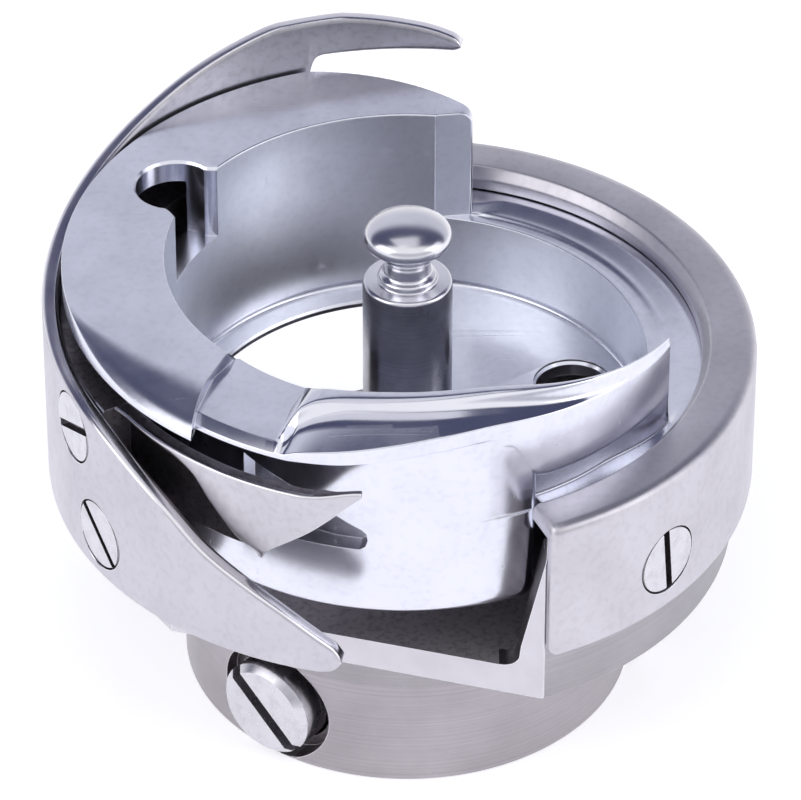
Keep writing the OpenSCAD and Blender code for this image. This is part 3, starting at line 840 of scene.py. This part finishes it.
def cutBody():
    s = bodyShape
    body = makeBody()
    flatTurn = math.radians(s["flatAngle"])
    flatWay = Vector((math.cos(flatTurn), math.sin(flatTurn), 0))
    # the milled flat: low across the front, and all the way up on the right of the window
    flat = pushed("flat", [(-17, s["hub"] - 1.1), (17, s["hub"] - 1.1), (17, 20), (s["web"], 20),
                           (s["web"], bodyFloor + 0.02), (-17, bodyFloor + 0.02)], -s["flat"], -25)
    place(flat, Matrix.Rotation(flatTurn + math.pi / 2, 4, "Z"))
    sideTurn = math.radians(s["sideFlat"][0])
    sideWay = Vector((math.cos(sideTurn), math.sin(sideTurn), 0))
    side = pushed("sideFlat", [(-9, s["hub"] - 1), (9, s["hub"] - 1), (9, s["seatLow"] - 0.2),
                               (-9, s["seatLow"] - 0.2)],
                  -s["sideFlat"][1], -25)
    place(side, Matrix.Rotation(sideTurn + math.pi / 2, 4, "Z"))
    holes = []
    for node, face in [(n, gibR) for n in gibScrews] + [(n, guardR) for n in guardScrews]:
        angle, height = screwAim(node)
        holes.append(place(rod("shankHole", 1.06, -3.4, 0), alongRadius(angle, height, face)))
    body = combine(body, [flat, side, rearCutter()] + holes, "DIFFERENCE")

    def choose(at, normal):
        reach, turn = math.hypot(at.x, at.y), math.degrees(math.atan2(at.y, at.x))
        if normal.dot(flatWay) > 0.99 and abs(at.dot(flatWay) - s["flat"]) < 0.1:
            return "flatSteel"
        if normal.dot(sideWay) > 0.99 and abs(at.dot(sideWay) - s["sideFlat"][1]) < 0.1:
            return "flatSteel"
        out = (normal.x * at.x + normal.y * at.y) / reach
        # round the blade the top edge gets a painted highlight and the inner faces painted shade
        if -152 < turn < -96 and at.z > s["window"]:
            if out > 0.75 and (reach > 16.35 or turn > -112):
                return "bladeSteel"
            return "edgeSteel" if at.z > bodyTop - 0.12 and (out > 0.3 or reach > 16.35) else "darkSteel"
        # the upward floor faces get painted light, a brighter colour
        if at.z < bodyFloor + 0.1 and normal.z > 0.9 and reach < 14.4:
            return "floorSteel"
        # inner faces and the wall top get the dark matte finish, partly as painted shade for the cavity
        if reach < bodyR - 0.12 and at.z > s["hub"] + 0.1 or at.z > bodyTop - 0.3 and reach < seatR + 1:
            return "darkSteel"
        return "bandSteel"

    return dress(body, metals["bandSteel"], "hook", "hook_steel", "hook_body", choose=choose)


def rearCutter():
    s = bodyShape
    outline = arcOutline(8.3, 19.5, 97, 160, 0.5, 4)
    return prism("rearWindow", outline, hubShape["sleeve"] + 0.8, gibLow + 0.4)


cutBody()
print("hook body done")


# bobbin case holder
basketShape = {
    "hole": 1.65, "cup": 12.1, "cupAt": (0.0, 0.3), "floor": 13.9, "ledge": 18.12, "wall": 13.2,
    "under": 13.9, "pad": 14.2, "ribR": 15.4, "ribTop": 18.45, "ribLow": 16.85, "ribStart": 298.0,
    "ribEnd": 232.0, "padEnd": 297.5, "padRound": 4.0, "crescent": 24.5, "rimLow": 23.3, "recess": 23.9,
    "recessRim": 16.3, "chamfer": 0.55, "noseAt": (2.9, 12.88), "noseR": 0.48, "noseTip": 75.22,
    "noseFace": 12.17, "rearAt": (-5.0, 4.5), "rearR": 11.9, "front": 223.0, "frontLean": 2.0,
    "hornStart": 244.5, "hornTip": 336.0, "inner": [(-118, 11.25), (-115, 11.6), (-112, 12.1), (-108, 12.05),
                                                    (-100, 11.92), (-90, 11.85),
              (-73, 11.95), (-64, 12.4), (-56, 13.0), (-47, 13.55), (-39, 13.8), (-24, 13.98)],
    "ridge": [(-117, 14.2), (-113, 13.9), (-109, 13.2), (-104, 12.75), (-96, 12.55), (-84, 12.5), (-72, 12.6),
              (-64, 12.95), (-56, 13.4), (-46, 13.8), (-35, 13.98), (-24, 14.04)],
    "top": [(-116, 23.9), (-114.5, 24.3), (-112, 24.7), (-107, 24.85), (-90, 24.95), (-70, 24.9), (-50, 24.6),
            (-35, 24.1), (-24, 23.6)],
    "outer": [(-112, 16.3), (-102, 15.95), (-92, 15.2), (-84, 14.65), (-71, 14.1), (-24, 14.1)],
    "edge": [(-114, 23.6), (-108, 23.95), (-100, 24.15), (-84, 24.2), (-71, 24.1), (-60, 23.9), (-45, 23.6),
             (-24, 23.2)],
    "skirt": [(-72.5, 23.3), (-71, 22.8), (-68.5, 22.5), (-65.5, 21.2), (-63, 20.3), (-60, 20.1),
              (-24, 20.2)],
    "slot": {"angle": 152.3, "lobe": 13.2, "radius": 2.05, "floor": 20.3},
    "opening": (3.6, 10.95, 92, 200, 1.0), "hole2": (9.2, 23.0, 1.9)}


def rayToCircle(angle, centre, radius, side):
    # how far out a ray at this angle meets a circle, on its far side (1) or near side (-1)
    reach = math.hypot(*centre)
    off = math.radians(angle) - math.atan2(centre[1], centre[0])
    return reach * math.cos(off) + side * math.sqrt(max(0.0, radius ** 2 - (reach * math.sin(off)) ** 2))


def basketLean(angle, radius):
    # the front end of the crescent runs slantwise across the rim
    s = basketShape
    if radius < s["cup"] + 0.2 or angle < 200 or angle > 256:
        return 0.0
    amount = ease(203, 222, angle) if angle < s["front"] else 1 - ease(226, 255, angle)
    return s["frontLean"] * amount * (radius - s["cup"] - 0.2)


def basketUnder(t):
    # from the rib's inner foot down to the hole for the stud
    s = basketShape
    rib = t < s["ribEnd"] or t > s["ribStart"]
    low, padLow = s["wall"], cupLow
    if 215 < t < s["padEnd"]:
        past = max(0.0, t - s["padEnd"] + s["padRound"]) / s["padRound"]
        low = s["wall"] + (s["pad"] - s["wall"]) * math.sqrt(max(0.0, 1 - past ** 2))
        padLow += 0.8 * (1 - math.sqrt(max(0.0, 1 - past ** 2)))
    out = s["ribR"] if rib else low
    bottom = min(0.5, 0.1 + padLow - cupLow)
    return low, [
        (out, s["ribTop"], 0.05), (out, s["ribLow"], 0.05), (low, s["ribLow"] - 0.02, 0.05),
        (low, padLow, 1.0 if low > s["wall"] + 0.3 else 0.5), (s["wall"] - 0.02, padLow, 0.02),
        (s["wall"] - 0.05, cupLow, bottom), (s["hole"], cupLow, 0.03)]


def basketCorners(t):
    s = basketShape
    a = t if t < 180 else t - 360
    low, under = basketUnder(t)
    cup, ledge = rayToCircle(t, s["cupAt"], s["cup"], 1), s["ledge"]
    start = [(s["hole"], s["floor"], 0.03), (cup, s["floor"], 0.35), (cup, ledge, 0.07)]
    if -24 < a < s["noseTip"]:
        # open ledge with a cove up to the rib
        e, h = ease(68, 75.2, a), ease(-13, -23.9, a)
        across = (12.6, 12.85, 12.95, 13.0, 13.05, 13.1, 13.2, 13.45)
        body = [(mix(mix(r, 13.0, e), 14.03, h), ledge + 0.02 * k, 0.3 if k == 7 else 0.05)
                for k, r in enumerate(across)]
        return start + body + [(mix(mix(14.35, 13.6, e), 14.3, h), s["ribTop"] - 0.005, 0.15)] + under
    if a > 0 or a < -137:
        # crescent, its rear end running in to a rounded nose
        inner = cup
        outer = rimR
        if t < 130:
            outer = min(outer, rayToCircle(t, s["rearAt"], s["rearR"], 1))
        if t < 83.4:
            inner = max(inner, s["noseFace"] / (math.sin(math.radians(t)) - 0.12 * math.cos(math.radians(t))))
        if t < 77.3:
            inner = max(inner, rayToCircle(t, s["noseAt"], s["noseR"], -1))
            outer = min(outer, rayToCircle(t, s["noseAt"], s["noseR"], 1))
        wall = min(s["under"], outer - 0.01)
        roll = ease(193, 222, t)
        width, drop = mix(0.15, 2.1, roll), mix(0.0, 1.0, roll)
        top = s["crescent"] - 0.7 * (1 - math.sqrt(1 - min(1.0, max(0.0, (78 - t) / 2.85)) ** 2))
        edgeIn = max(inner + (outer - inner) * 0.6, outer - width)
        return start + [
            (inner, ledge + 0.02, 0.05), (inner, top - 1.5, 0.02), (inner, top, 0.1),
            (edgeIn, top, 0.8 * roll + 0.02),
            (mix(edgeIn, outer, 0.72), top - drop * 0.45, 0.5 * roll + 0.02),
            (outer, top - drop, 0.12), (outer, s["rimLow"], 0.1), (wall, s["rimLow"] - 0.01, 0.12),
            (wall, s["ribTop"] + 0.02, 0.45 if t < 100 else 0.15)] + under
    if t < s["hornStart"]:
        # recessed front end, with a bright chamfer outside
        inner = mix(cup, 11.25, ease(222, 223.5, t))
        return start + [
            (cup, ledge + 0.02, 0.05), (cup, s["recess"] - 1.5, 0.02), (inner, s["recess"], 0.1),
            (13.5, s["recess"], 0.2), (s["recessRim"] - s["chamfer"], s["recess"], 0.05),
            (s["recessRim"], s["recess"] - 0.32, 0.05), (s["recessRim"], s["rimLow"], 0.08),
            (max(s["under"], low), s["rimLow"] - 0.01, 0.12),
            (max(s["under"], low), s["ribTop"] + 0.02, 0.15)] + under
    # horn
    inner, ridge, top, outer, edge, skirt = (
        smoothCurve(s[key], a) for key in ("inner", "ridge", "top", "outer", "edge", "skirt"))
    grow = ease(s["hornStart"], s["hornStart"] + 3.5, t)
    ridge = min(ridge, outer - 0.05)
    tipWard = ease(-45, -24.2, a)
    wallIn, wallOut = mix(cup, 13.9, tipWard), mix(max(low, s["wall"]), 14.05, tipWard)
    middle = mix(ridge, outer, 0.25)
    return start + [
        (wallIn, ledge + 0.02, 0.05), (wallIn, top - 2.0, 0.1), (inner, top, 0.12),
        (mix(15.0, ridge, grow), mix(top, top + 0.02, grow), 0.3),
        (mix(15.6, middle, grow), mix(top, max(edge + 0.2, mix(top, edge, 0.9)), grow), 0.8),
        (outer, mix(s["recess"] - 0.32, edge, grow), 0.08), (outer, skirt, 0.4 if t > 290 else 0.08),
        (min(wallOut, outer - 0.01), skirt - 0.01, 0.2),
        (min(wallOut, outer - 0.01), s["ribTop"] + 0.02, 0.15)] + under


def basketAngles():
    s = basketShape
    angles = [k * 1.5 for k in range(240)]
    angles += [77.3 - 2.08 * math.cos(math.radians(f)) for f in range(0, 91, 6)] + [83.3, 83.42, 84.2]
    angles += [s["noseTip"] - 0.03, s["front"] - 0.04, s["front"] + 0.04, s["ribEnd"] - 0.05,
               s["ribEnd"] + 0.05]
    angles += [s["padEnd"] - s["padRound"] * (1 - k / 10) for k in range(10)]
    angles += [s["padEnd"] - 0.05, s["padEnd"] + 0.05, 214.95, 215.05]
    angles += [s["ribStart"] - 0.05, s["ribStart"] + 0.05, s["hornTip"] - 0.04, s["hornTip"] + 0.04]
    angles += [s["hornStart"] + 0.4 * k for k in range(-2, 16)] + [287.5 + 0.6 * k for k in range(1, 18)]
    return sorted(set(round(a, 3) for a in angles))


def slotOutline():
    s = basketShape["slot"]
    side = [(11.5 + 0.2 * k, 1.95 + 0.7 * (max(0.0, 12.75 - 11.5 - 0.2 * k) / 1.15) ** 1.7) for k in range(7)]
    lobe = [(s["lobe"] + s["radius"] * math.cos(math.radians(f)), s["radius"] * math.sin(math.radians(f)))
            for f in range(96, -97, -8)]
    outline = side + lobe + [(u, -w) for u, w in reversed(side)]
    turn = math.radians(s["angle"])
    along, across = math.cos(turn), math.sin(turn)
    return [(u * along - w * across, u * across + w * along) for u, w in outline]


def makeBasket():
    s = basketShape
    loops = [(t, roundLoop(basketCorners(t), 5)) for t in basketAngles()]
    basket = sweep("bobbinCaseHolder", loops, True, 30, basketLean)
    inner, outer, start, end, rounding = s["opening"]
    radius, angle, bore = s["hole2"]
    hole = rod("hole", bore, cupLow - 1, s["floor"] - 0.12, 0.13)
    place(hole, Matrix.Translation(Vector(polar(radius, angle, 0)) * mm))
    cutters = [
        prism("caseSlot", slotOutline(), s["slot"]["floor"], s["crescent"], 0.12, 0.14),
        prism("opening", arcOutline(inner, outer, start, end, rounding),
              cupLow - 1, s["floor"] + 0.01, 0.12, 0.14),
        prism("openingUnder", arcOutline(inner, outer + 0.9, start + 1.3, end - 1.3, rounding),
              cupLow - 1, s["floor"] - 0.35),
        hole,
        padNotch()]
    basket = combine(basket, cutters, "DIFFERENCE")

    def choose(at, normal):
        # the cup's inner wall has its own finish, and the horn's sloping faces are polished
        turn = math.degrees(math.atan2(at.y, at.x)) % 360
        reach = math.hypot(at.x, at.y)
        sloped = at.z > s["rimLow"] + 0.05 and 0.5 < normal.z < 0.992
        inward = -(normal.x * at.x + normal.y * at.y) / max(0.1, reach)
        if inward > 0.7 and s["floor"] + 0.4 < at.z < s["crescent"] and reach < s["wall"]:
            return "cupChrome"
        onHorn = s["hornStart"] < turn < s["hornTip"] and reach > 12.2
        return "polishChrome" if sloped and onHorn else "basketChrome"

    return dress(basket, metals["basketChrome"], "holder", "basket_chrome", "basket", choose=choose)


def padNotch():
    # shallow relief in the pad behind the hook's point, rounded at its far end
    outline = [(-124, 16.9), (-105, 16.95), (-99.5, 16.95), (-98.4, 17.15), (-97.9, 17.55), (-98.1, 17.95),
               (-99, 18.15), (-105, 19.0), (-112, 20), (-124, 21.2)]
    points = [polar(r, a, z) for r in (13.3, 15.2) for a, z in outline]
    size = len(outline)
    faces = [tuple(range(size)), tuple(range(size, 2 * size))]
    faces += [(k, (k + 1) % size, size + (k + 1) % size, size + k) for k in range(size)]
    return meshPiece("padNotch", points, faces)


makeBasket()
print("basket done")


# hidden parts keep their construction shape and take a finish
for node, finish in (("oil_wick", "wickFelt"), ("oil_plug", "screwSteel"), ("stud_washer", "studSteel")):
    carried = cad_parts[node]
    if not carried.material_slots:
        carried.data.materials.append(metals[finish])
    for slot in carried.material_slots:
        slot.material = metals[finish]
print("carried parts finished")


# floor and surroundings
setting = {
    "floor": (0.92, 0.925, 0.95), "floorReach": 600.0, "lift": 0.5,
    "front": (0.60, 0.60, 0.66), "key": (1.0, 1.0, 1.02), "gap": (0.07, 0.075, 0.14),
    "back": (0.66, 0.67, 0.76), "horizon": (1.0, 1.0, 1.0)}


def makeFloor():
    size = setting["floorReach"]
    corners = [(-size, -size, 0), (size, -size, 0), (size, size, 0), (-size, size, 0)]
    floor = meshPiece("studioFloor", corners, [(0, 1, 2, 3)])
    material = bpy.data.materials.new("paleFloor")
    material.use_nodes = True
    tree = material.node_tree
    shader = tree.nodes["Principled BSDF"]
    shader.inputs["Roughness"].default_value = 0.7
    shader.inputs["Specular IOR Level"].default_value = 0.2
    coord = addNode(tree, "ShaderNodeTexCoord").outputs["Object"]
    cloud = noise(tree, coord, 12, 2)
    shade = tuple(c * 0.985 for c in setting["floor"])
    tree.links.new(ramp(tree, cloud, [(0.3, shade), (0.7, setting["floor"])]), shader.inputs["Base Color"])
    path = addNode(tree, "ShaderNodeLightPath").outputs
    # seen directly, mirrored or through glass the floor lifts to plain white, and keeps the object's shadow
    seen = maths(tree, "MAXIMUM", path["Is Camera Ray"], path["Is Transmission Ray"])
    seen = maths(tree, "MAXIMUM", seen, path["Is Glossy Ray"])
    lift = maths(tree, "MULTIPLY", seen, setting["lift"])
    tree.links.new(lift, shader.inputs["Emission Strength"])
    shader.inputs["Emission Color"].default_value = (1, 1, 1, 1)
    floor.data.materials.append(material)


def makeWorld():
    world = bpy.data.worlds.new("studio")
    bpy.context.scene.world = world
    world.use_nodes = True
    tree = world.node_tree
    back = tree.nodes["Background"]
    coord = addNode(tree, "ShaderNodeTexCoord").outputs["Generated"]
    parts = addNode(tree, "ShaderNodeSeparateXYZ", None, {0: coord}).outputs
    # angle over the object from the front horizon (0) through overhead (0.5) to the back horizon (1)
    up = maths(tree, "MAXIMUM", parts[2], 0.0)
    toFront = maths(tree, "MULTIPLY", parts[1], -1.0)
    turn = maths(tree, "DIVIDE", maths(tree, "ARCTAN2", up, toFront), math.pi)
    s = setting
    sky = ramp(tree, turn, [(0.0, s["horizon"]), (0.05, s["front"]), (0.16, s["front"]), (0.26, s["key"]),
                            (0.44, s["key"]), (0.50, s["gap"]), (0.72, s["gap"]), (0.775, s["back"]),
                            (0.86, s["back"]), (0.97, s["horizon"])])
    tree.links.new(sky, back.inputs["Color"])
    back.inputs["Strength"].default_value = 1.0


def makeLamp(name, stand, aim, size, watts, colour):
    lamp = bpy.data.lights.new(name, "AREA")
    lamp.shape, lamp.size, lamp.size_y = "RECTANGLE", size[0] * mm, size[1] * mm
    lamp.energy, lamp.color = watts, colour
    holder = bpy.data.objects.new(name, lamp)
    bpy.context.scene.collection.objects.link(holder)
    holder.location = Vector(stand) * mm
    holder.rotation_euler = (Vector(aim) - Vector(stand)).to_track_quat("-Z", "Y").to_euler()


makeFloor()
makeWorld()
makeLamp("topSoftbox", (-10, 45, 330), (0, 0, 15), (170, 150), 0.055, (1, 1, 1))
makeLamp("leftSoftbox", (-320, -160, 220), (0, 0, 15), (300, 340), 0.32, (0.98, 0.98, 1))
makeLamp("rightSoftbox", (330, -60, 180), (0, 0, 15), (260, 320), 0.24, (0.98, 0.98, 1))


# camera, at the height and distance the object is looked at from
cameraShape = {"height": 37.0, "distance": 300.0, "lens": 266.5, "target": (-0.35, 0.0, 15.5)}


def makeCamera():
    s = cameraShape
    camera = bpy.data.cameras.new("productCamera")
    camera.sensor_width, camera.lens = 36, s["lens"]
    camera.clip_start, camera.clip_end = 0.01, 20
    holder = bpy.data.objects.new("productCamera", camera)
    bpy.context.scene.collection.objects.link(holder)
    lift = math.radians(s["height"])
    offset = Vector((0, -math.cos(lift), math.sin(lift))) * s["distance"]
    holder.location = (Vector(s["target"]) + offset) * mm
    holder.rotation_euler = (math.radians(90) - lift, 0, 0)
    bpy.context.scene.camera = holder


makeCamera()
bpy.context.scene.view_settings.view_transform = "Standard"
print("scene ready")
